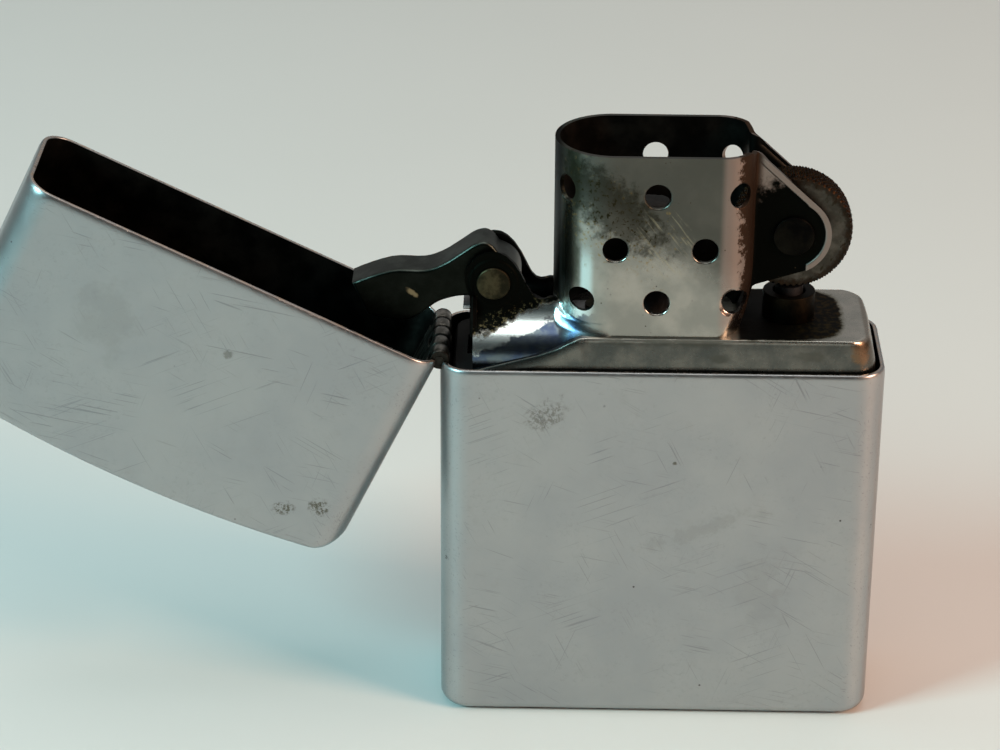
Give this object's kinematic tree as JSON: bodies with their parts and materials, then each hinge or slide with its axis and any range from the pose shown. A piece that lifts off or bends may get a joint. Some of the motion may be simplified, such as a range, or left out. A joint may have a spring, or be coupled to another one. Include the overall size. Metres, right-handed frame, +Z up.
{
  "type": "flip-top windproof lighter",
  "caption": "Flip-top windproof pocket lighter: hinged lid, drawn case, fuel insert with perforated chimney, cam and flint wheel.",
  "frame": {"origin": "centre of the flat bottom of the case", "axes": "+Z up; +X towards the flint wheel, away from the hinge; +Y to the back, the broad faces look along Y"},
  "size_m": [0.0806, 0.0126, 0.0529],
  "materials": {
    "case": "worn satin plated brass",
    "lid": "worn satin plated brass",
    "hinge": "dull, dirty",
    "tank": "worn bright steel",
    "chimney": "heat stained, sooty",
    "wick": "braided cotton, charred tip",
    "cotton": "loose cotton",
    "felt": "pressed felt",
    "tube": "tarnished",
    "spring": "drawn wire",
    "screw": "turned",
    "cam": "dark, oily",
    "rivet": "dark, worn",
    "wheel": "toothed, rusty",
    "flint": "sintered"
  },
  "bodies": {
    "base": {"case_shell": "case", "hinge_case_leaf": "hinge", "hinge_pin": "hinge", "insert_tank": "tank", "chimney": "chimney", "wick": "wick", "cotton_wads": "cotton", "felt_pad": "felt", "flint_tube": "tube", "flint_spring": "spring", "flint_screw": "screw", "cam_spring": "spring", "cam_spring_rivet": "rivet", "cam_axle": "rivet", "wheel_axle": "rivet"},
    "lid": {"lid_shell": "lid", "hinge_lid_leaf": "hinge"},
    "cam": {"cam": "cam"},
    "wheel": {"flint_wheel": "wheel"},
    "flint": {"flint": "flint", "flint_follower": "screw"}
  },
  "joints": [
    {"name": "lid_hinge", "type": "hinge", "parent": "base", "child": "lid", "pos_m": [-0.01905, 0, 0.0339], "axis": [0, 1, 0], "range_deg": [0, 154]},
    {"name": "cam_pivot", "type": "hinge", "parent": "base", "child": "cam", "pos_m": [-0.0145, 0, 0.0403], "axis": [0, 1, 0], "range_deg": [0, 94.1]},
    {"name": "wheel_spin", "type": "hinge", "parent": "base", "child": "wheel", "pos_m": [0.0108, 0, 0.0449], "axis": [0, 1, 0], "continuous": true},
    {"name": "flint_feed", "type": "slide", "parent": "base", "child": "flint", "axis": [0, 0, 1], "range_m": [-0.0015, 0], "stiffness_N_per_m": 120, "springref_m": 0.004, "deforming": ["flint_spring"]}
  ],
  "couplings": [
    {"joint": "cam_pivot", "follows": "lid_hinge", "ratio": 0.61}
  ]
}
